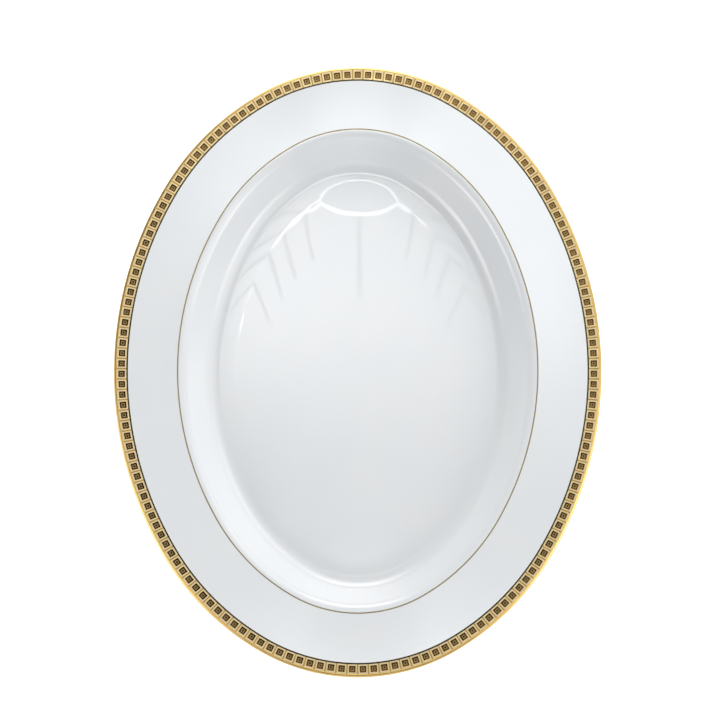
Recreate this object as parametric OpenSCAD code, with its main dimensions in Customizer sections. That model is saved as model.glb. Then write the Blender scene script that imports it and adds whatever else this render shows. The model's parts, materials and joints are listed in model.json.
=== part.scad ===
// Oval china serving platter with a gold lip and an etched gold key frieze.
// +Z is up, the origin is under the middle of the foot ring, and the long axis lies along Y.
// Each coat is a ring of one constant section, t inwards from the edge, swept round the oval.

/* [Oval] */
// Radius of the outline at each end
end_r = 118.027; // [110:0.001:130]
// How much larger the radius is between an end and a side
mid_step = 45.743; // [35:0.001:55]
// How much larger again it is at each side
side_step = 64.716; // [55:0.001:75]

/* [Section] */
// Width of the flange, from the edge to where the well turns down
flange_w = 39.3; // [30:0.1:44]
// Slope of the flange, in degrees
flange_slope = 6.5; // [2:0.5:10]
// Depth of the well, from the end of the flange to the floor
well_depth = 19; // [15:0.5:26]
// Steepest slope of the well's wall, in degrees
wall_slope = 50; // [44:1:60]
// Radius of the turn from the flange to the wall
shoulder_r = 9; // [6:0.5:12]
// Radius of the turn from the wall to the floor
floor_r = 20; // [12:1:22]
// Thickness at the lip, which is also the lip's rounding
lip_t = 3.2; // [2.4:0.1:4]
// Thickness of the wall
wall_t = 4.2; // [3:0.1:5]
// Thickness of the floor
floor_t = 5; // [4:0.1:7]

/* [Foot] */
// Height of the foot ring, below the middle of the base
foot_h = 3; // [2:0.1:5]
// Width of the foot ring
foot_w = 4.5; // [3.5:0.1:7]
// How far the foot ring's outer side stands outside the edge of the floor
foot_out = 5; // [3:0.1:8]
// Height of the bare band at the foot's tip, where the glaze is wiped off
bare_h = 0.9; // [0.8:0.1:1.6]
// Size of the eased edges on the foot's tip
foot_ease = 0.6; // [0.3:0.1:0.7]

/* [Coats] */
// Thickness of the glaze
glaze_t = 0.6; // [0.5:0.05:0.8]
// Depth to which the gold is let into the glaze
gold_t = 0.4; // [0.3:0.05:0.45]
// Height of the frieze's relief
relief = 0.2; // [0.15:0.05:0.25]

/* [Gold bands] */
// Width of the plain gold on top of the lip, from the edge
lip_band_w = 1.9; // [1.9:0.1:3]
// How far round the lip the gold goes below its outermost line, in degrees
lip_band_under = 60; // [30:5:75]
// Width of the frieze
frieze_w = 5.9; // [5.6:0.1:6.4]
// Width of the fine border line on the frieze's inner side
border_w = 0.9; // [0.6:0.1:1.2]
// Width of the gold line at the top of the well
well_line_w = 0.8; // [0.5:0.1:1.2]

/* [Frieze cells] */
// Number of key squares round the rim
cells = 161; // [150:1:166]
// Gap between two neighbouring frames
cell_gap = 0.45; // [0.3:0.05:0.6]
// Side of the square opening in a frame
panel_side = 3.95; // [3.6:0.05:4.3]
// Outer side of the small square ring
ring_side = 2.1; // [1.8:0.05:2.5]
// Side of the stud inside the ring
stud_side = 0.85; // [0.6:0.05:1.2]
// Height of the sunk panels and studs above the ground
panel_h = 0.1; // [0.05:0.01:0.12]

/* [Hidden] */
$fn = 180;

// Colours
biscuit = [0.93, 0.92, 0.89];
glaze = [0.95, 0.96, 0.97];
bright_gold = [0.85, 0.70, 0.42];
pale_gold = [0.91, 0.84, 0.62];
dark_gold = [0.36, 0.27, 0.13];
line_gold = [0.42, 0.36, 0.25];

// The outline: an oval of eight arcs that meet at 30 and 60 degrees, so that the middle arcs
// span 30 degrees. With the steps above, every centre and radius comes out as a short number,
// and neighbouring arcs meet without a gap
mid_r = end_r + mid_step;
side_r = mid_r + side_step;
mid_x = mid_step * cos(60);
mid_y = side_step * sin(30);
end_y = mid_y + mid_step * sin(60);
side_x = mid_x + side_step * cos(30);
// Each arc: centre, radius, start angle, sweep
arcs = [
    [[-side_x, 0], side_r, -30, 60],
    [[-mid_x, mid_y], mid_r, 30, 30],
    [[0, end_y], end_r, 60, 60],
    [[mid_x, mid_y], mid_r, 120, 30],
    [[side_x, 0], side_r, 150, 60],
    [[mid_x, -mid_y], mid_r, 210, 30],
    [[0, -end_y], end_r, 240, 60],
    [[-mid_x, -mid_y], mid_r, 300, 30]
];

// Heights
base_z = foot_h;
floor_z = foot_h + floor_t;
flange_z = floor_z + well_depth;

// The section's turning centres, as [t, z]
nose_r = lip_t / 2;
nose = [nose_r, flange_z + (flange_w - nose_r) * tan(flange_slope) - nose_r / cos(flange_slope)];
shoulder = [flange_w - shoulder_r * sin(flange_slope), flange_z - shoulder_r * cos(flange_slope)];
wall_drop = shoulder[1] + shoulder_r * cos(wall_slope) - floor_z - floor_r * (1 - cos(wall_slope));
floor_t0 = shoulder[0] + (shoulder_r + floor_r) * sin(wall_slope) + wall_drop / tan(wall_slope);
floor_turn = [floor_t0, floor_z + floor_r];

// The flange's underside is the straight line that touches both the lip and the shoulder
under_gap = nose_r + shoulder_r - wall_t;
under_run = shoulder - nose;
under_slope = acos(under_gap / norm(under_run)) - atan2(under_run[0], -under_run[1]);

// Stations across the section
foot_t0 = floor_t0 - foot_out;
foot_t1 = foot_t0 + foot_w;
ring_t = floor_t0 + 6;
slab_t = floor_t0 + 3;
frieze_t0 = lip_band_w;
frieze_t1 = frieze_t0 + frieze_w;
band_t1 = frieze_t1 + border_w;
line_t0 = flange_w - well_line_w;
cell_t = (frieze_t0 + frieze_t1) / 2;

// Points of a turn about a centre, as [t, z]. The angle is that of the surface's slope
function turn(centre, r, from, to, steps = 12) =
    [for (i = [0 : steps]) let (a = from + (to - from) * i / steps) centre + r * [sin(a), cos(a)]];

function backwards(path) = [for (i = [len(path) - 1 : -1 : 0]) path[i]];

// A point at depth d below the flange's face at station t
function flange_at(t, d) =
    [t - d * sin(flange_slope), flange_z + (flange_w - t) * tan(flange_slope) - d * cos(flange_slope)];

// The face from the lip's outermost line to the floor, at depth d below the surface
function face_path(d) = concat(
    turn(nose, nose_r - d, -90, flange_slope),
    turn(shoulder, shoulder_r - d, flange_slope, wall_slope),
    turn(floor_turn, -(floor_r + d), wall_slope, 0, 16),
    [[ring_t, floor_z - d]]
);

// The back from the lip's outermost line to the foot ring, at depth d below the surface
function back_path(d) = concat(
    turn(nose, nose_r - d, -90, -180 + under_slope),
    turn(shoulder, shoulder_r - wall_t + d, under_slope, wall_slope),
    turn(floor_turn, d - floor_r - wall_t, wall_slope, foot_meet(d), 14)
);

// The slope of the back where it meets the foot ring's outer side
function foot_meet(d) = asin((foot_out - d) / (floor_r + wall_t - d));

// The outline, t inwards from the edge, as points
function outline(t) = [
    for (arc = arcs, steps = ceil(arc[3] / 5), i = [0 : steps - 1])
        let (a = arc[2] + arc[3] * i / steps) arc[0] + (arc[1] - t) * [cos(a), sin(a)]
];

function arc_length(i, t) = arcs[i][3] * PI / 180 * (arcs[i][1] - t);
function oval_length(t) = 2 * arc_length(0, t) + 4 * arc_length(1, t) + 2 * arc_length(2, t);

// The arc and the angle that lie a length s along the oval, t inwards from the edge
function station(s, t, i = 0) =
    s < arc_length(i, t) || i == len(arcs) - 1
        ? [i, arcs[i][2] + s / (arcs[i][1] - t) * 180 / PI]
        : station(s - arc_length(i, t), t, i + 1);

// Sweeps a section round the oval. The section's x is minus t
module swept() {
    for (arc = arcs)
        translate(arc[0])
            rotate_extrude(angle = arc[3], start = arc[2])
                translate([arc[1], 0])
                    children();
}

// Turns a path of [t, z] points into a section
module section(path) {
    polygon([for (p = path) [-p[0], p[1]]]);
}

// The flat middle of a coat, from one height to another
module middle(z0, z1) {
    translate([0, 0, z0])
        linear_extrude(z1 - z0)
            polygon(outline(slab_t));
}

// A strip of the flange from station t0 to t1, between two depths
module strip(t0, t1, d0, d1) {
    section([flange_at(t0, d0), flange_at(t1, d0), flange_at(t1, d1), flange_at(t0, d1)]);
}

// The gold round the lip. Grow makes it stand out beyond the surface
module lip_section(grow = 0) {
    end = -90 - lip_band_under;
    section(concat(
        turn(nose, nose_r + grow, end, flange_slope, 16),
        [flange_at(lip_band_w, -grow), flange_at(lip_band_w, gold_t)],
        turn(nose, nose_r - gold_t, flange_slope, end, 16)
    ));
}

// Puts its children on the flange at every cell, on the ground of the relief, with
// +Z along the surface's normal and +X outwards
module every_cell() {
    total = oval_length(cell_t);
    far_end = arc_length(0, cell_t) + arc_length(1, cell_t) + arc_length(2, cell_t) / 2;
    seat = flange_at(cell_t, relief);
    for (i = [0 : cells - 1]) {
        s = far_end + i * total / cells;
        at = station(s < total ? s : s - total, cell_t);
        translate(arcs[at[0]][0])
            rotate([0, 0, at[1]])
                translate([arcs[at[0]][1] - seat[0], 0, seat[1]])
                    rotate([0, -flange_slope, 0])
                        children();
    }
}

// A flat rectangular tile that stands on the ground
module tile(size_x, size_y, h) {
    translate([-size_x / 2, -size_y / 2, 0])
        cube([size_x, size_y, h]);
}

// A tile with a square opening
module open_tile(size_x, size_y, opening, h) {
    difference() {
        tile(size_x, size_y, h);
        translate([0, 0, -h])
            tile(opening, opening, 3 * h);
    }
}

// The fired clay body, bare only at the tip of the foot ring
module porcelain_body() {
    foot = [
        [foot_t0 + glaze_t, bare_h],
        [foot_t0, bare_h],
        [foot_t0, foot_ease],
        [foot_t0 + foot_ease, 0],
        [foot_t1 - foot_ease, 0],
        [foot_t1, foot_ease],
        [foot_t1, bare_h],
        [foot_t1 - glaze_t, bare_h],
        [foot_t1 - glaze_t, base_z + glaze_t],
        [ring_t, base_z + glaze_t]
    ];
    color(biscuit) {
        swept()
            section(concat(face_path(glaze_t), backwards(concat(back_path(glaze_t), foot))));
        middle(base_z + glaze_t, floor_z - glaze_t);
    }
}

// The glaze on the face, from the lip's outermost line to the middle of the floor
module face_glaze() {
    color(glaze) {
        swept()
            difference() {
                section(concat(face_path(0), backwards(face_path(glaze_t))));
                lip_section(1);
                strip(frieze_t0 - 0.5, band_t1, -1, gold_t);
                strip(line_t0, flange_w, -1, gold_t);
            }
        middle(floor_z - glaze_t, floor_z);
    }
}

// The glaze on the back, from the lip's outermost line down to the foot ring
module back_glaze() {
    foot_side = [[foot_t0, bare_h], [foot_t0 + glaze_t, bare_h]];
    color(glaze)
        swept()
            difference() {
                section(concat(back_path(0), foot_side, backwards(back_path(glaze_t))));
                lip_section(1);
            }
}

// The glaze inside the foot ring
module base_glaze() {
    color(glaze) {
        swept()
            section([
                [foot_t1 - glaze_t, bare_h],
                [foot_t1, bare_h],
                [foot_t1, base_z],
                [ring_t, base_z],
                [ring_t, base_z + glaze_t],
                [foot_t1 - glaze_t, base_z + glaze_t]
            ]);
        middle(base_z, base_z + glaze_t);
    }
}

// The plain gold that wraps the lip
module lip_gold() {
    color(bright_gold)
        swept()
            lip_section();
}

// The gold that the frieze's relief stands on
module frieze_ground() {
    color(bright_gold)
        swept()
            strip(frieze_t0, frieze_t1, relief, gold_t);
}

// The raised square frames, one to a cell
module frieze_frames() {
    frame_w = oval_length(cell_t) / cells - cell_gap;
    color(pale_gold)
        every_cell()
            open_tile(frieze_w, frame_w, panel_side, relief);
}

// The sunk burnished panels inside the frames
module frieze_panels() {
    color(dark_gold)
        every_cell()
            open_tile(panel_side, panel_side, ring_side, panel_h);
}

// The small raised square rings in the middle of the panels
module frieze_rings() {
    color(pale_gold)
        every_cell()
            open_tile(ring_side, ring_side, stud_side, relief);
}

// The sunk burnished studs inside the rings
module frieze_studs() {
    color(dark_gold)
        every_cell()
            tile(stud_side, stud_side, panel_h);
}

// The fine line that closes the frieze on its inner side
module border_line() {
    color(line_gold)
        swept()
            strip(frieze_t1, band_t1, 0, gold_t);
}

// The gold line round the top of the well
module well_line() {
    color(bright_gold)
        swept()
            strip(line_t0, flange_w, 0, gold_t);
}

porcelain_body();
face_glaze();
back_glaze();
base_glaze();
lip_gold();
frieze_ground();
frieze_frames();
frieze_panels();
frieze_rings();
frieze_studs();
border_line();
well_line();
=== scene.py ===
import json
from math import acos, asin, atan2, ceil, cos, hypot, pi, radians, sin, tan

import bmesh
import bpy
from mathutils import Matrix, Vector

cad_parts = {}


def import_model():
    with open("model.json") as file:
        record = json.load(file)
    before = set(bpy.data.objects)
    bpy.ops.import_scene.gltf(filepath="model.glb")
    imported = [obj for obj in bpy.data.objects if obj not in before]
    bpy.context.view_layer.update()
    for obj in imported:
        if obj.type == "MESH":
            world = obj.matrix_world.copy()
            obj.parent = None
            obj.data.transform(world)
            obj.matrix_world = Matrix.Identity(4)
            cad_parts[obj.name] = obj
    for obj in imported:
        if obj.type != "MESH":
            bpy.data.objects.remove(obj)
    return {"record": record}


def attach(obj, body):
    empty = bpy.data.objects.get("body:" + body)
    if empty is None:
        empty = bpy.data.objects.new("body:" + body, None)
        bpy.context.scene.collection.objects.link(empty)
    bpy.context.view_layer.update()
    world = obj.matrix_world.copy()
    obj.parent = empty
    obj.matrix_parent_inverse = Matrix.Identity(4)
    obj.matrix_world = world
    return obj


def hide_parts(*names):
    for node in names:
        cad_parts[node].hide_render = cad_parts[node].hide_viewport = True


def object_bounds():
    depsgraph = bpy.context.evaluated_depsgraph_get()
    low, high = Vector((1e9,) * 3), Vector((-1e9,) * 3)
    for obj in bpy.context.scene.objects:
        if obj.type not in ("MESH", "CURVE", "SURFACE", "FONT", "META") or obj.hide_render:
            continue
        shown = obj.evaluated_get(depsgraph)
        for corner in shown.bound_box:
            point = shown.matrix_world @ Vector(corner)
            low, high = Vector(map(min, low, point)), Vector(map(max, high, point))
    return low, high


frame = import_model()
CAD_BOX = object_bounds()
MM = 0.001

# ---------------------------------------------------------------- the platter's own sizes
# The section is drawn as points (t, z): t inwards from the edge, z up from the table.
FLANGE_SLOPE = radians(6.5)
FLANGE_W = 39.3 * MM
WALL_SLOPE = radians(50)
SHOULDER_R = 9 * MM
FLOOR_R = 20 * MM
WALL_T = 4.2 * MM
LIP_R = 1.6 * MM
GLAZE_T = 0.6 * MM
GOLD_T = 0.4 * MM
RELIEF = 0.2 * MM
FOOT_OUT = 5 * MM
FOOT_W = 4.5 * MM
FOOT_H = 3 * MM
BARE_H = 0.9 * MM
FOOT_EASE = 0.6 * MM
LIP_UNDER = radians(60)
FRIEZE_T0 = 1.9 * MM
FRIEZE_T1 = 7.8 * MM
BAND_T1 = 8.7 * MM
LINE_T0 = 38.5 * MM
CELL_T = (FRIEZE_T0 + FRIEZE_T1) / 2

# The oval is four equal quarters, each of three 30 degree arcs with their own centres.
# HAIR keeps the coats inside the CAD's own facets.
HAIR = 0.05 * MM
END_R = 118.027 * MM
MID_STEP = 45.743 * MM
SIDE_STEP = 64.716 * MM
MID_R = END_R + MID_STEP
SIDE_R = MID_R + SIDE_STEP
MID_X = MID_STEP * cos(radians(60))
MID_Y = SIDE_STEP * sin(radians(30))
END_Y = MID_Y + MID_STEP * sin(radians(60))
SIDE_X = MID_X + SIDE_STEP * cos(radians(30))
ARCS = [
    (Vector((-SIDE_X, 0, 0)), SIDE_R - HAIR),
    (Vector((-MID_X, MID_Y, 0)), MID_R - HAIR),
    (Vector((0, END_Y, 0)), END_R - HAIR),
]

# Heights, from the CAD: its box, its well floor and its underside
LIP_Z = CAD_BOX[1].z - LIP_R
FLANGE_Z = LIP_Z + LIP_R / cos(FLANGE_SLOPE) - (FLANGE_W - LIP_R) * tan(FLANGE_SLOPE)
FLOOR_Z = next(m for m in frame["record"]["mounts"] if m["name"] == "well_floor")["pos_m"][2]
BASE_Z = CAD_BOX[0].z + FOOT_H

# Where the section turns
NOSE = (LIP_R, LIP_Z)
SHOULDER = (FLANGE_W - SHOULDER_R * sin(FLANGE_SLOPE), FLANGE_Z - SHOULDER_R * cos(FLANGE_SLOPE))
WALL_DROP = SHOULDER[1] + SHOULDER_R * cos(WALL_SLOPE) - FLOOR_Z - FLOOR_R * (1 - cos(WALL_SLOPE))
FLOOR_T0 = SHOULDER[0] + (SHOULDER_R + FLOOR_R) * sin(WALL_SLOPE) + WALL_DROP / tan(WALL_SLOPE)
FLOOR_TURN = (FLOOR_T0, FLOOR_Z + FLOOR_R)
RUN = (SHOULDER[0] - NOSE[0], NOSE[1] - SHOULDER[1])
UNDER_SLOPE = acos((LIP_R + SHOULDER_R - WALL_T) / hypot(*RUN)) - atan2(*RUN)
FOOT_T0 = FLOOR_T0 - FOOT_OUT
FOOT_T1 = FOOT_T0 + FOOT_W
RING_T = FLOOR_T0 + 6 * MM

# On the glazed face the corner between wall and floor turns tighter than in the clay below.
FACE_R = 12.5 * MM
FACE_TURN = (FLOOR_T0 - (FLOOR_R - FACE_R) * tan(WALL_SLOPE / 2), FLOOR_Z + FACE_R)

# The frieze's cells. PANEL, RING, RING_HOLE and STUD are the sides of squares.
CELLS = 161
CELL_GAP = 0.85 * MM
PANEL = 3.95 * MM
PANEL_EDGE = 0.07 * MM
PANEL_CROWN = 0.03 * MM
RING = 2.1 * MM
RING_HOLE = 1.2 * MM
STUD = 0.85 * MM
STUD_EDGE = 0.11 * MM
STUD_CROWN = 0.008 * MM
FRAME_EASE = 0.05 * MM
RING_EASE = 0.08 * MM
BAND_EASE = 0.04 * MM


# ---------------------------------------------------------------- drawing the section
FINE = radians(2.5)
COARSE = radians(12)


def turn(centre, r, start, end, every=FINE):
    """Points round a turn, by the slope of the surface."""
    steps = max(2, ceil(abs(end - start) / every))
    angles = [start + (end - start) * i / steps for i in range(steps + 1)]
    return [(centre[0] + r * sin(a), centre[1] + r * cos(a)) for a in angles]


def straight(a, b, steps):
    """The points between a and b, without the two."""
    shares = [i / steps for i in range(1, steps)]
    return [(a[0] + (b[0] - a[0]) * s, a[1] + (b[1] - a[1]) * s) for s in shares]


def flange(t, depth=0.0):
    """A point below the flange's face at station t."""
    z = FLANGE_Z + (FLANGE_W - t) * tan(FLANGE_SLOPE)
    return (t - depth * sin(FLANGE_SLOPE), z - depth * cos(FLANGE_SLOPE))


def well_path(depth, every=FINE):
    """The well from the end of the flange to the flat of the floor."""
    shoulder = turn(SHOULDER, SHOULDER_R - depth, FLANGE_SLOPE, WALL_SLOPE, every)
    floor = turn(FACE_TURN, -(FACE_R + depth), WALL_SLOPE, 0, every)
    return shoulder + straight(shoulder[-1], floor[0], 4) + floor + [(RING_T, FLOOR_Z - depth)]


def face_path(depth, every=FINE):
    """The face from the lip to the floor, at a depth below the surface."""
    lip = turn(NOSE, LIP_R - depth, -pi / 2, FLANGE_SLOPE, every)
    return lip + straight(lip[-1], flange(FLANGE_W, depth), 4) + well_path(depth, every)


def back_path(depth, start=-pi / 2, every=FINE):
    """The back from the lip to the foot ring, at a depth below the surface."""
    meet = asin((FOOT_OUT - depth) / (FLOOR_R + WALL_T - depth))
    lip = turn(NOSE, LIP_R - depth, start, -pi + UNDER_SLOPE, every)
    shoulder = turn(SHOULDER, SHOULDER_R - WALL_T + depth, UNDER_SLOPE, WALL_SLOPE, every)
    floor = turn(FLOOR_TURN, depth - FLOOR_R - WALL_T, WALL_SLOPE, meet, every)
    flat = straight(lip[-1], shoulder[0], 8)
    return lip + flat + shoulder + straight(shoulder[-1], floor[0], 4) + floor


# ---------------------------------------------------------------- shaping
def swept(name, path, closed=True, steps=24):
    """Spins a section round a quarter of the oval, then mirrors it to the other three.

    The inner ends of an open section are filled flat.
    """
    shape = bmesh.new()
    centre, radius = ARCS[0]
    verts = [shape.verts.new(centre + Vector((radius - t, 0, z))) for t, z in path]
    ends = verts[1:] + verts[:1] if closed else verts[1:]
    profile = verts + [shape.edges.new(pair) for pair in zip(verts, ends)]
    for centre, _ in ARCS:
        spun = bmesh.ops.spin(
            shape, geom=profile, cent=centre, axis=(0, 0, 1), angle=radians(30), steps=steps,
        )
        profile = spun["geom_last"]
    for axis in "XY":
        whole = shape.verts[:] + shape.edges[:] + shape.faces[:]
        bmesh.ops.mirror(shape, geom=whole, axis=axis, merge_dist=0.005 * MM)
    bmesh.ops.remove_doubles(shape, verts=shape.verts, dist=0.005 * MM)
    if not closed:
        bmesh.ops.holes_fill(shape, edges=[e for e in shape.edges if e.is_boundary])
    return finished(name, shape)


def finished(name, shape, sharp=30):
    """Turns a shape into a smooth-shaded object with its hard edges kept."""
    bmesh.ops.recalc_face_normals(shape, faces=shape.faces)
    mesh = bpy.data.meshes.new(name)
    shape.to_mesh(mesh)
    shape.free()
    mesh.shade_smooth()
    mesh.set_sharp_from_angle(angle=radians(sharp))
    piece = bpy.data.objects.new(name, mesh)
    bpy.context.scene.collection.objects.link(piece)
    return piece


def place(piece, node, material):
    """Puts a piece in the place of a CAD node, with its finish."""
    piece.data.materials.append(material)
    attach(piece, "root")
    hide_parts(node)


def strip(t0, t1, top, bottom):
    """The section of a band let into the flange, its upper edges eased."""
    start = flange(t0 + BAND_EASE, top)
    end = flange(t1 - BAND_EASE, top)
    return [
        flange(t0, bottom), flange(t0, top + BAND_EASE), start, *straight(start, end, 4),
        end, flange(t1, top + BAND_EASE), flange(t1, bottom),
    ]


# ---------------------------------------------------------------- the frieze
def cell_seats():
    """The seat of every cell on the ground of the relief, from the far end round by the left."""
    arc = [radians(30) * (radius - CELL_T) for _, radius in ARCS]
    quarter = sum(arc)
    pitch = 4 * quarter / CELLS
    seat_t, seat_z = flange(CELL_T, RELIEF)
    seats = []
    for k in range(CELLS):
        turns, s = divmod(quarter + k * pitch, quarter)
        quadrant = int(turns) % 4
        if quadrant % 2:
            s = quarter - s
        i = 0
        while i < 2 and s > arc[i]:
            s -= arc[i]
            i += 1
        centre, radius = ARCS[i]
        angle = radians(30 * i) + s / (radius - CELL_T)
        x_side = -1 if quadrant in (1, 2) else 1
        y_side = -1 if quadrant in (2, 3) else 1
        x = x_side * (centre.x + (radius - seat_t) * cos(angle))
        y = y_side * (centre.y + (radius - seat_t) * sin(angle))
        outward = atan2(y_side * sin(angle), x_side * cos(angle))
        stand = Matrix.Translation((x, y, seat_z)) @ Matrix.Rotation(outward, 4, "Z")
        seats.append(stand @ Matrix.Rotation(-FLANGE_SLOPE, 4, "Y"))
    return seats, pitch


SEATS, PITCH = cell_seats()


def at_every_cell(name, cell, sharp=30):
    """Repeats a cell's shape at every place round the rim."""
    one = bpy.data.meshes.new(name)
    cell.to_mesh(one)
    cell.free()
    shape = bmesh.new()
    for seat in SEATS:
        copy = one.copy()
        copy.transform(seat)
        shape.from_mesh(copy)
        bpy.data.meshes.remove(copy)
    bpy.data.meshes.remove(one)
    return finished(name, shape, sharp)


def square_ring(outer, inner, height, ease):
    """A square ring with eased edges: its section is spun in four steps, so it mitres."""
    shape = bmesh.new()
    rise = height - ease
    section = [
        (inner, 0), (inner, rise), (inner + ease, height),
        (outer - ease, height), (outer, rise), (outer, 0),
    ]
    corner = Vector((1, 1, 0))
    verts = [shape.verts.new(corner * side / 2 + Vector((0, 0, z))) for side, z in section]
    edges = [shape.edges.new(pair) for pair in zip(verts, verts[1:] + verts[:1])]
    bmesh.ops.spin(
        shape, geom=verts + edges, cent=(0, 0, 0), axis=(0, 0, 1), angle=2 * pi, steps=4,
        use_merge=True,
    )
    return shape


def pillow(side, edge, crown):
    """A square tile with a softly crowned face."""
    shape = bmesh.new()
    bmesh.ops.create_grid(shape, x_segments=4, y_segments=4, size=side / 2)
    for v in shape.verts:
        fall_x = 1 - (2 * v.co.x / side) ** 2
        fall_y = 1 - (2 * v.co.y / side) ** 2
        v.co.z = edge + crown * fall_x * fall_y
    rim = [e for e in shape.edges if e.is_boundary]
    down = bmesh.ops.extrude_edge_only(shape, edges=rim)["geom"]
    for v in (g for g in down if isinstance(g, bmesh.types.BMVert)):
        v.co.z = 0
    bmesh.ops.holes_fill(shape, edges=[e for e in shape.edges if e.is_boundary])
    return shape


# ---------------------------------------------------------------- materials
def linear(hex_colour):
    """An sRGB hex colour as linear values."""
    parts = [int(hex_colour[i : i + 2], 16) / 255 for i in (1, 3, 5)]
    return tuple(p / 12.92 if p <= 0.04045 else ((p + 0.055) / 1.055) ** 2.4 for p in parts) + (1,)


def add(tree, kind, settings=None, **inputs):
    """Adds a node. Settings go on the node, and inputs are values or other nodes' outputs."""
    node = tree.nodes.new(kind)
    for key, value in (settings or {}).items():
        setattr(node, key, value)
    for key, value in inputs.items():
        socket = node.inputs[key.replace("_", " ")]
        if isinstance(value, bpy.types.NodeSocket):
            tree.links.new(value, socket)
        else:
            socket.default_value = value
    return node


def new_material(name):
    """An empty material with its tree and object coordinates."""
    material = bpy.data.materials.new(name)
    material.use_nodes = True
    tree = material.node_tree
    tree.nodes.clear()
    place_node = add(tree, "ShaderNodeTexCoord")
    return material, tree, place_node.outputs["Object"]


def finish_material(tree, shader):
    """Shows a shader on the surface."""
    add(tree, "ShaderNodeOutputMaterial", Surface=shader.outputs[0])


def blend(tree, share, first, second):
    """A colour between two hex colours, by a share."""
    node = add(tree, "ShaderNodeMix", {"data_type": "RGBA"})
    tree.links.new(share, node.inputs["Factor"])
    colours = [i for i in node.inputs if i.type == "RGBA"]
    colours[0].default_value = linear(first)
    colours[1].default_value = linear(second)
    return next(o for o in node.outputs if o.type == "RGBA")


def noise(tree, place_at, size, detail=1.0):
    """Smooth noise whose patches are about this size."""
    return add(tree, "ShaderNodeTexNoise", Vector=place_at, Scale=1 / size, Detail=detail).outputs["Fac"]


def between(tree, share, low, high):
    """A share of 0.3 to 0.7, as noise mostly gives, spread from low to high."""
    node = add(tree, "ShaderNodeMapRange", Value=share)
    for key, value in (("From Min", 0.3), ("From Max", 0.7), ("To Min", low), ("To Max", high)):
        node.inputs[key].default_value = value
    return node.outputs["Result"]


def glaze_material():
    """Clear gloss glaze over hard white porcelain.

    The fired body is dipped in glaze and fired again until the glaze runs to glass. It reads as
    a cold, wet white with sharp mirror images, a slow wave two centimetres long where the glaze
    pulled itself level, and the slightest warm and cool clouds where it lies thin and thick.
    """
    material, tree, place_at = new_material("clear_glaze_on_porcelain")
    wave = noise(tree, place_at, 22 * MM)
    bump = add(tree, "ShaderNodeBump", Height=wave, Strength=0.25, Distance=0.03 * MM)
    cloud = noise(tree, place_at, 35 * MM, 2.0)
    shader = add(
        tree, "ShaderNodeBsdfPrincipled", IOR=1.52, Normal=bump.outputs[0],
        Base_Color=blend(tree, cloud, "#E7EAED", "#ECEDEE"),
        Roughness=between(tree, cloud, 0.004, 0.01),
    )
    finish_material(tree, shader)
    return material


def gold_material(name, thick, thin, roughness):
    """Gold painted on the glaze and fired.

    The gilder lays it with a brush while the platter turns, so it lies thick and thin in patches
    a few millimetres long, and the fired metal keeps a fine grain that blurs what it mirrors.
    """
    material, tree, place_at = new_material(name)
    patch = noise(tree, place_at, 4 * MM, 2.0)
    grain = noise(tree, place_at, 0.35 * MM, 2.0)
    bump = add(tree, "ShaderNodeBump", Height=grain, Strength=0.12, Distance=0.02 * MM)
    shader = add(
        tree, "ShaderNodeBsdfPrincipled", Metallic=1.0, Normal=bump.outputs[0],
        Base_Color=blend(tree, patch, thick, thin),
        Roughness=between(tree, patch, roughness * 0.85, roughness * 1.15),
    )
    finish_material(tree, shader)
    return material


def biscuit_material():
    """Bare fired porcelain, where the glaze is wiped off the foot before the firing.

    It reads as a dry, chalky white, a little warmer than the glaze, with the grain of fine
    sandpaper and faint grey scuffs from standing on tables.
    """
    material, tree, place_at = new_material("bare_biscuit")
    grain = noise(tree, place_at, 0.4 * MM, 3.0)
    bump = add(tree, "ShaderNodeBump", Height=grain, Strength=0.4, Distance=0.05 * MM)
    scuff = noise(tree, place_at, 6 * MM, 3.0)
    shader = add(
        tree, "ShaderNodeBsdfPrincipled", Roughness=0.8, Normal=bump.outputs[0],
        Base_Color=blend(tree, scuff, "#DEDAD0", "#EAE6DC"),
    )
    finish_material(tree, shader)
    return material


GLAZE = glaze_material()
BISCUIT = biscuit_material()
LIP_GOLD = gold_material("satin_fired_gold", "#E0B96E", "#EAC784", 0.38)
MATT_GOLD = gold_material("matt_etched_gold", "#EDD3A0", "#F3DCB0", 0.42)
# Burnished gold is mirror bright. Its dark brown here is painted shade, standing in for the dark that
# the panels and studs mirror.
BURNISHED_PAINTED_DARK = gold_material("burnished_gold", "#4A3418", "#58401F", 0.16)
BED_GOLD = gold_material("etched_gold_bed", "#B8924C", "#C8A35E", 0.45)
# The rings are a duller, darker gold than the frames round them.
RING_GOLD = gold_material("dull_ring_gold", "#9C8558", "#AC966A", 0.4)
LINE_GOLD = gold_material("dark_line", "#3A3222", "#48402C", 0.3)
WELL_GOLD = gold_material("well_line_gold", "#97855A", "#A8976C", 0.4)


# ---------------------------------------------------------------- the coats
def bisque_body():
    """The clay under its coats, bare at the tip of the foot ring."""
    foot = [
        (FOOT_T0 + GLAZE_T, BARE_H), (FOOT_T0, BARE_H), (FOOT_T0, FOOT_EASE),
        (FOOT_T0 + FOOT_EASE, 0), (FOOT_T1 - FOOT_EASE, 0), (FOOT_T1, FOOT_EASE),
        (FOOT_T1, BARE_H), (FOOT_T1 - GLAZE_T, BARE_H),
        (FOOT_T1 - GLAZE_T, BASE_Z + GLAZE_T), (RING_T, BASE_Z + GLAZE_T),
    ]
    back = back_path(GLAZE_T, every=COARSE)[1:]
    path = face_path(GLAZE_T, COARSE)[::-1] + back + foot
    place(swept("bisque_body", path, closed=False), "porcelain_body", BISCUIT)


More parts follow.
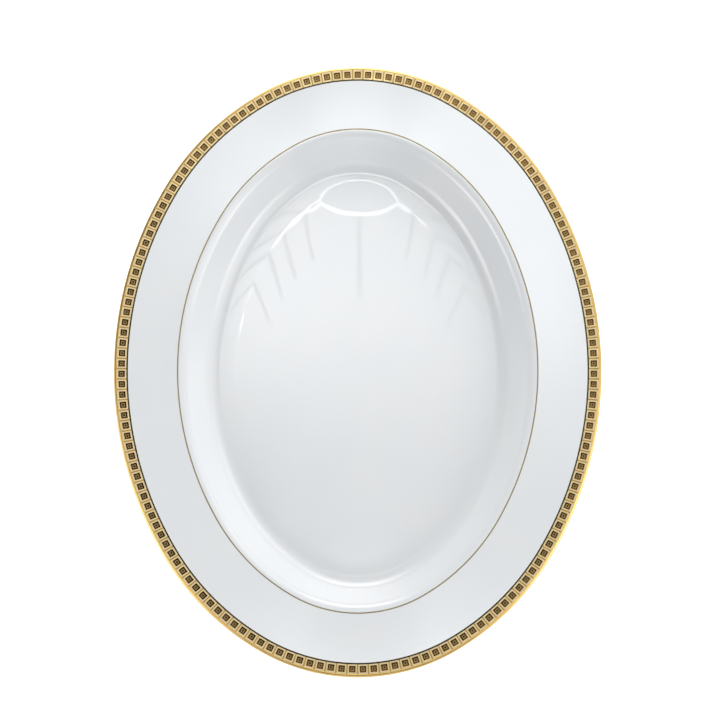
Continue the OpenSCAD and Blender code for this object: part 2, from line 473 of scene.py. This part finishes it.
def face_coat():
    """The glaze of the eating side, cut back where the gold lies in it."""
    lip = turn(NOSE, LIP_R - GOLD_T, -pi / 2, FLANGE_SLOPE, COARSE)
    top = (
        lip + [flange(BAND_T1, GOLD_T), flange(BAND_T1)]
        + straight(flange(BAND_T1), flange(LINE_T0), 10)
        + [flange(LINE_T0), flange(LINE_T0, GOLD_T), flange(FLANGE_W, GOLD_T)] + well_path(0)
    )
    path = top[::-1] + face_path(GLAZE_T, COARSE)
    place(swept("face_coat", path, closed=False), "face_glaze", GLAZE)


def back_coat():
    """The glaze of the underside, from the end of the lip's gold to the foot ring."""
    gold_end = -pi / 2 - LIP_UNDER
    under = turn(NOSE, LIP_R - GOLD_T, -pi / 2, gold_end, COARSE)
    foot = [(FOOT_T0, BARE_H), (FOOT_T0 + GLAZE_T, BARE_H)]
    path = under + back_path(0, gold_end) + foot + back_path(GLAZE_T, every=COARSE)[::-1]
    place(swept("back_coat", path), "back_glaze", GLAZE)


def base_coat():
    """The glaze inside the foot ring."""
    path = [
        (RING_T, BASE_Z), (FOOT_T1, BASE_Z), (FOOT_T1, BARE_H), (FOOT_T1 - GLAZE_T, BARE_H),
        (FOOT_T1 - GLAZE_T, BASE_Z + GLAZE_T), (RING_T, BASE_Z + GLAZE_T),
    ]
    place(swept("base_coat", path, closed=False), "base_glaze", GLAZE)


def lip_band():
    """The gold that wraps the lip."""
    end = -pi / 2 - LIP_UNDER
    outer = turn(NOSE, LIP_R, end, FLANGE_SLOPE) + [flange(FRIEZE_T0)]
    inner = [flange(FRIEZE_T0, GOLD_T)] + turn(NOSE, LIP_R - GOLD_T, FLANGE_SLOPE, end)
    place(swept("lip_band", outer + inner), "lip_gold", LIP_GOLD)


def frieze():
    """The etched border: a gold bed, and in each cell a frame, a panel, a ring and a stud."""
    ground = swept("frieze_bed", strip(FRIEZE_T0, FRIEZE_T1, RELIEF, GOLD_T))
    place(ground, "frieze_ground", BED_GOLD)
    frame_w = PITCH - CELL_GAP
    cell = square_ring(frame_w, PANEL, RELIEF, FRAME_EASE)
    for v in cell.verts:
        if abs(v.co.x) > PANEL / 2 + 2 * FRAME_EASE:
            v.co.x *= (FRIEZE_T1 - FRIEZE_T0) / frame_w
    place(at_every_cell("key_frames", cell), "frieze_frames", MATT_GOLD)
    # The panels and studs are coloured dark brown: painted shade in place of the dark their bright
    # burnished gold mirrors.
    panels = at_every_cell("key_panels", pillow(PANEL, PANEL_EDGE, PANEL_CROWN), sharp=60)
    place(panels, "frieze_panels", BURNISHED_PAINTED_DARK)
    rings = at_every_cell("key_rings", square_ring(RING, RING_HOLE, RELIEF, RING_EASE))
    place(rings, "frieze_rings", RING_GOLD)
    studs = at_every_cell("key_studs", pillow(STUD, STUD_EDGE, STUD_CROWN), sharp=60)
    place(studs, "frieze_studs", BURNISHED_PAINTED_DARK)


def lines():
    """The dark line inside the frieze and the gold line round the well."""
    border = swept("border_band", strip(FRIEZE_T1, BAND_T1, 0, GOLD_T))
    place(border, "border_line", LINE_GOLD)
    well = swept("well_band", strip(LINE_T0, FLANGE_W, 0, GOLD_T))
    place(well, "well_line", WELL_GOLD)


bisque_body()
face_coat()
back_coat()
base_coat()
lip_band()
frieze()
lines()

# ---------------------------------------------------------------- the studio
PAPER_WHITE = (1, 1, 1, 1)
PAPER_GLOW = 0.36
PAPER_HALF = 6.0
COOL = (0.93, 0.985, 1.0)
WHITE = (1.0, 1.0, 1.0)
BOX_AWAY = 2.2
BOX_FADE = 0.5
OVERHEAD = 6.0


def studio_floor():
    """Matt white paper with a faint glow of its own, so that it stays plain."""
    material, tree, _ = new_material("pale_paper_floor")
    shader = add(tree, "ShaderNodeBsdfPrincipled", Roughness=0.9)
    shader.inputs["Base Color"].default_value = PAPER_WHITE
    shader.inputs["Emission Color"].default_value = PAPER_WHITE
    shader.inputs["Emission Strength"].default_value = PAPER_GLOW
    finish_material(tree, shader)
    shape = bmesh.new()
    bmesh.ops.create_grid(shape, x_segments=1, y_segments=1, size=PAPER_HALF)
    floor = finished("studio_floor", shape)
    floor.data.materials.append(material)


def falloff(tree, fade):
    """Nothing at a soft box's edges, rising to full over this share of its sides."""
    spot = add(tree, "ShaderNodeNewGeometry").outputs["Parametric"]
    sides = add(tree, "ShaderNodeSeparateXYZ", Vector=spot)
    glows = []
    for side in (sides.outputs["X"], sides.outputs["Y"]):
        ramp = add(tree, "ShaderNodeMath", {"operation": "PINGPONG"})
        tree.links.new(side, ramp.inputs[0])
        ramp.inputs[1].default_value = 0.5
        soft = add(tree, "ShaderNodeMapRange", {"interpolation_type": "SMOOTHSTEP"})
        tree.links.new(ramp.outputs[0], soft.inputs["Value"])
        soft.inputs["From Max"].default_value = fade
        glows.append(soft.outputs["Result"])
    return product(tree, *glows)


def product(tree, first, second):
    """Two values multiplied."""
    node = add(tree, "ShaderNodeMath", {"operation": "MULTIPLY"})
    tree.links.new(first, node.inputs[0])
    tree.links.new(second, node.inputs[1])
    return node.outputs[0]


def soft_box(name, way, distance, width, height, radiance, fade, tint):
    """A soft light that faces the platter, its glow falling off towards its edges."""
    data = bpy.data.lights.new(name, "AREA")
    data.shape = "RECTANGLE"
    data.color = tint
    data.size = width
    data.size_y = height
    data.energy = radiance * pi * width * height
    data.use_nodes = True
    tree = data.node_tree
    tree.nodes.clear()
    shine = add(tree, "ShaderNodeEmission", Strength=falloff(tree, fade))
    add(tree, "ShaderNodeOutputLight", Surface=shine.outputs[0])
    light = bpy.data.objects.new(name, data)
    light.location = way.normalized() * distance
    light.rotation_euler = way.to_track_quat("Z", "Y").to_euler()
    bpy.context.scene.collection.objects.link(light)


def wall_box(name, azimuth, elevation, width, height, radiance):
    """One of the large soft boxes that stand round the table."""
    a, e = radians(azimuth), radians(elevation)
    way = Vector((sin(a) * cos(e), cos(a) * cos(e), sin(e)))
    soft_box(name, way, BOX_AWAY, width, height, radiance, BOX_FADE, WHITE)


def overhead_box(name, x, y, width, depth, radiance, fade):
    """A soft panel on the high ceiling, in a cooler white."""
    way = Vector((x, y, OVERHEAD))
    soft_box(name, way, way.length, width, depth, radiance, fade, COOL)


# The umbrella's middle, its half sizes, and the angles of its ribs from the right end towards the
# middle. The rim scallops from rib to rib, then dips at these angles to these shares of its reach.
UMBRELLA_AT = Vector((0, 1.10, OVERHEAD))
UMBRELLA_HALF = (0.358, 0.500)
UMBRELLA_RIBS = (8, 20, 30.5, 42.5, 52, 64, 72)
UMBRELLA_DIP = ((75, 0.96), (80, 0.91), (85, 0.89), (90, 0.883))

# The cloth: its near side, the stations along Y where its glow starts and is full, and the two
# stations along X with the glow's share at each
CLOTH_LOW = Vector((0, -0.4, 0))
CLOTH_FADE = (0.75, 1.35)
CLOTH_SIDES = (-0.37, 0.37, 1.3, 0.6)

# The piping and the ribs hang just below the cloth. A rib has its outer end, length and width.
PIPING = 0.011
PIPING_DROP = Vector((0, 0, -0.01))
PIPING_SHARE = 2.6
HUB = UMBRELLA_AT + Vector((0, -0.5, 0))
MIDDLE_RIB = (0.875, 0.24, 0.015)
SIDE_RIB = (0.985, 0.14, 0.012)
RIB_DROP = Vector((0, 0, -0.005))
RIB_SHARE = 0.4


def umbrella_rim():
    """How far out the rim stands, by its angle in degrees, over the far half."""
    half = []
    for first, second in zip(UMBRELLA_RIBS, UMBRELLA_RIBS[1:]):
        half += [(first, 1.0), ((first + second) / 2, 0.985)]
    half += [(UMBRELLA_RIBS[-1], 1.0), *UMBRELLA_DIP]
    return half + [(180 - angle, reach) for angle, reach in reversed(half[:-1])]


def umbrella_point(angle, reach):
    """A point of the cloth, by its angle in degrees and how far out it is."""
    a = radians(angle)
    across, along = UMBRELLA_HALF
    return UMBRELLA_AT + Vector((across * cos(a) * reach, along * sin(a) * reach, 0))


def cloth_material(name, radiance):
    """Umbrella cloth with the lamp behind it: brighter to the left, lost towards the near side."""
    material, tree, place_at = new_material(name)
    spot = add(tree, "ShaderNodeSeparateXYZ", Vector=place_at)
    near = add(tree, "ShaderNodeMapRange", {"interpolation_type": "SMOOTHSTEP"}, Value=spot.outputs["Y"])
    side = add(tree, "ShaderNodeMapRange", Value=spot.outputs["X"])
    for node, values in ((near, (*CLOTH_FADE, 0, radiance)), (side, CLOTH_SIDES)):
        for key, value in zip(("From Min", "From Max", "To Min", "To Max"), values):
            node.inputs[key].default_value = value
    glow = product(tree, near.outputs["Result"], side.outputs["Result"])
    finish_material(tree, add(tree, "ShaderNodeEmission", Strength=glow))
    return material


def hung(name, shape, material):
    """Hangs a piece of the umbrella: the glaze mirrors it, and the camera looks past it."""
    piece = finished(name, shape)
    piece.data.materials.append(material)
    piece.visible_camera = False


def umbrella_cloth():
    """The flat shape of the cloth, with its near side cut straight."""
    cloth = bmesh.new()
    half_width = Vector((UMBRELLA_HALF[0], 0, 0))
    low = UMBRELLA_AT + CLOTH_LOW
    corners = [umbrella_point(*r) for r in umbrella_rim()] + [low - half_width, low + half_width]
    bmesh.ops.contextual_create(cloth, geom=[cloth.verts.new(c) for c in corners])
    return cloth


def umbrella_piping(cloth):
    """A narrow strip along the cloth's edge."""
    piping = cloth.copy()
    bmesh.ops.inset_region(piping, faces=piping.faces[:], thickness=PIPING, use_boundary=True)
    inner = [f for f in piping.faces if len(f.verts) > 4]
    bmesh.ops.delete(piping, geom=inner, context="FACES_ONLY")
    bmesh.ops.translate(piping, verts=piping.verts, vec=PIPING_DROP)
    return piping


def umbrella_ribs():
    """Strips that run in from the rim: a long one in the middle and four short ones a side."""
    ribs = bmesh.new()
    sides = [(angle, SIDE_RIB) for tip in UMBRELLA_RIBS[2:6] for angle in (tip, 180 - tip)]
    for angle, (reach, long, wide) in [(90, MIDDLE_RIB), *sides]:
        top = umbrella_point(angle, reach)
        run = (HUB - top).normalized()
        middle = Matrix.Translation(top + run * long / 2 + RIB_DROP)
        turned = middle @ Matrix.Rotation(atan2(run.y, run.x), 4, "Z")
        sized = turned @ Matrix.Diagonal((long, wide, 1, 1))
        bmesh.ops.create_grid(ribs, x_segments=1, y_segments=1, size=0.5, matrix=sized)
    return ribs


def umbrella(radiance):
    """A scalloped umbrella high over the table. The well mirrors its piped rim and its ribs."""
    cloth = umbrella_cloth()
    piping = umbrella_piping(cloth)
    hung("umbrella_cloth", cloth, cloth_material("umbrella_cloth", radiance))
    hung("umbrella_piping", piping, cloth_material("umbrella_piping", radiance * PIPING_SHARE))
    hung("umbrella_ribs", umbrella_ribs(), cloth_material("umbrella_ribs", radiance * RIB_SHARE))


def world(strength):
    """The faint grey of the room beyond the lights."""
    backdrop = bpy.data.worlds.new("studio")
    backdrop.use_nodes = True
    tree = backdrop.node_tree
    tree.nodes.clear()
    sky = add(tree, "ShaderNodeBackground", Color=(1, 1, 1, 1), Strength=strength)
    add(tree, "ShaderNodeOutputWorld", Surface=sky.outputs[0])
    bpy.context.scene.world = backdrop


LENS = 138.36
LEAN = radians(10.5)
AIM = Vector((1.4 * MM, 4.5 * MM, 27 * MM))
REACH = 1.7


def camera():
    """Above the platter, leaning back ten and a half degrees towards the near end."""
    data = bpy.data.cameras.new("camera")
    data.lens = LENS
    eye = bpy.data.objects.new("camera", data)
    way = Vector((0, -sin(LEAN), cos(LEAN)))
    eye.location = AIM + way * REACH
    eye.rotation_euler = way.to_track_quat("Z", "Y").to_euler()
    bpy.context.scene.collection.objects.link(eye)
    bpy.context.scene.camera = eye


studio_floor()
world(0.02)
wall_box("key", 45, 34, 2.9, 2.0, 2.63)
wall_box("near", 180, 22, 2.9, 2.0, 1.62)
wall_box("far", 0, 22, 2.9, 2.0, 6.78)
wall_box("left", 247, 22, 2.9, 2.0, 5.35)
wall_box("right", 110, 22, 2.9, 2.0, 4.77)
wall_box("right_high", 102, 52, 1.9, 1.9, 2.67)
overhead_box("over_near", 0, -0.06, 2.3, 1.4, 5.0, 0.2)
overhead_box("over_left", -0.78, 0.65, 1.05, 1.1, 4.2, 0.3)
overhead_box("over_right", 0.75, 0.55, 1.1, 0.86, 3.2, 0.4)
soft_box("over_far", Vector((-0.04, 1.52, 6.4)), 6.6, 1.45, 0.75, 2.7, 0.3, COOL)
umbrella(3.0)
camera()
bpy.context.scene.view_settings.view_transform = "Standard"
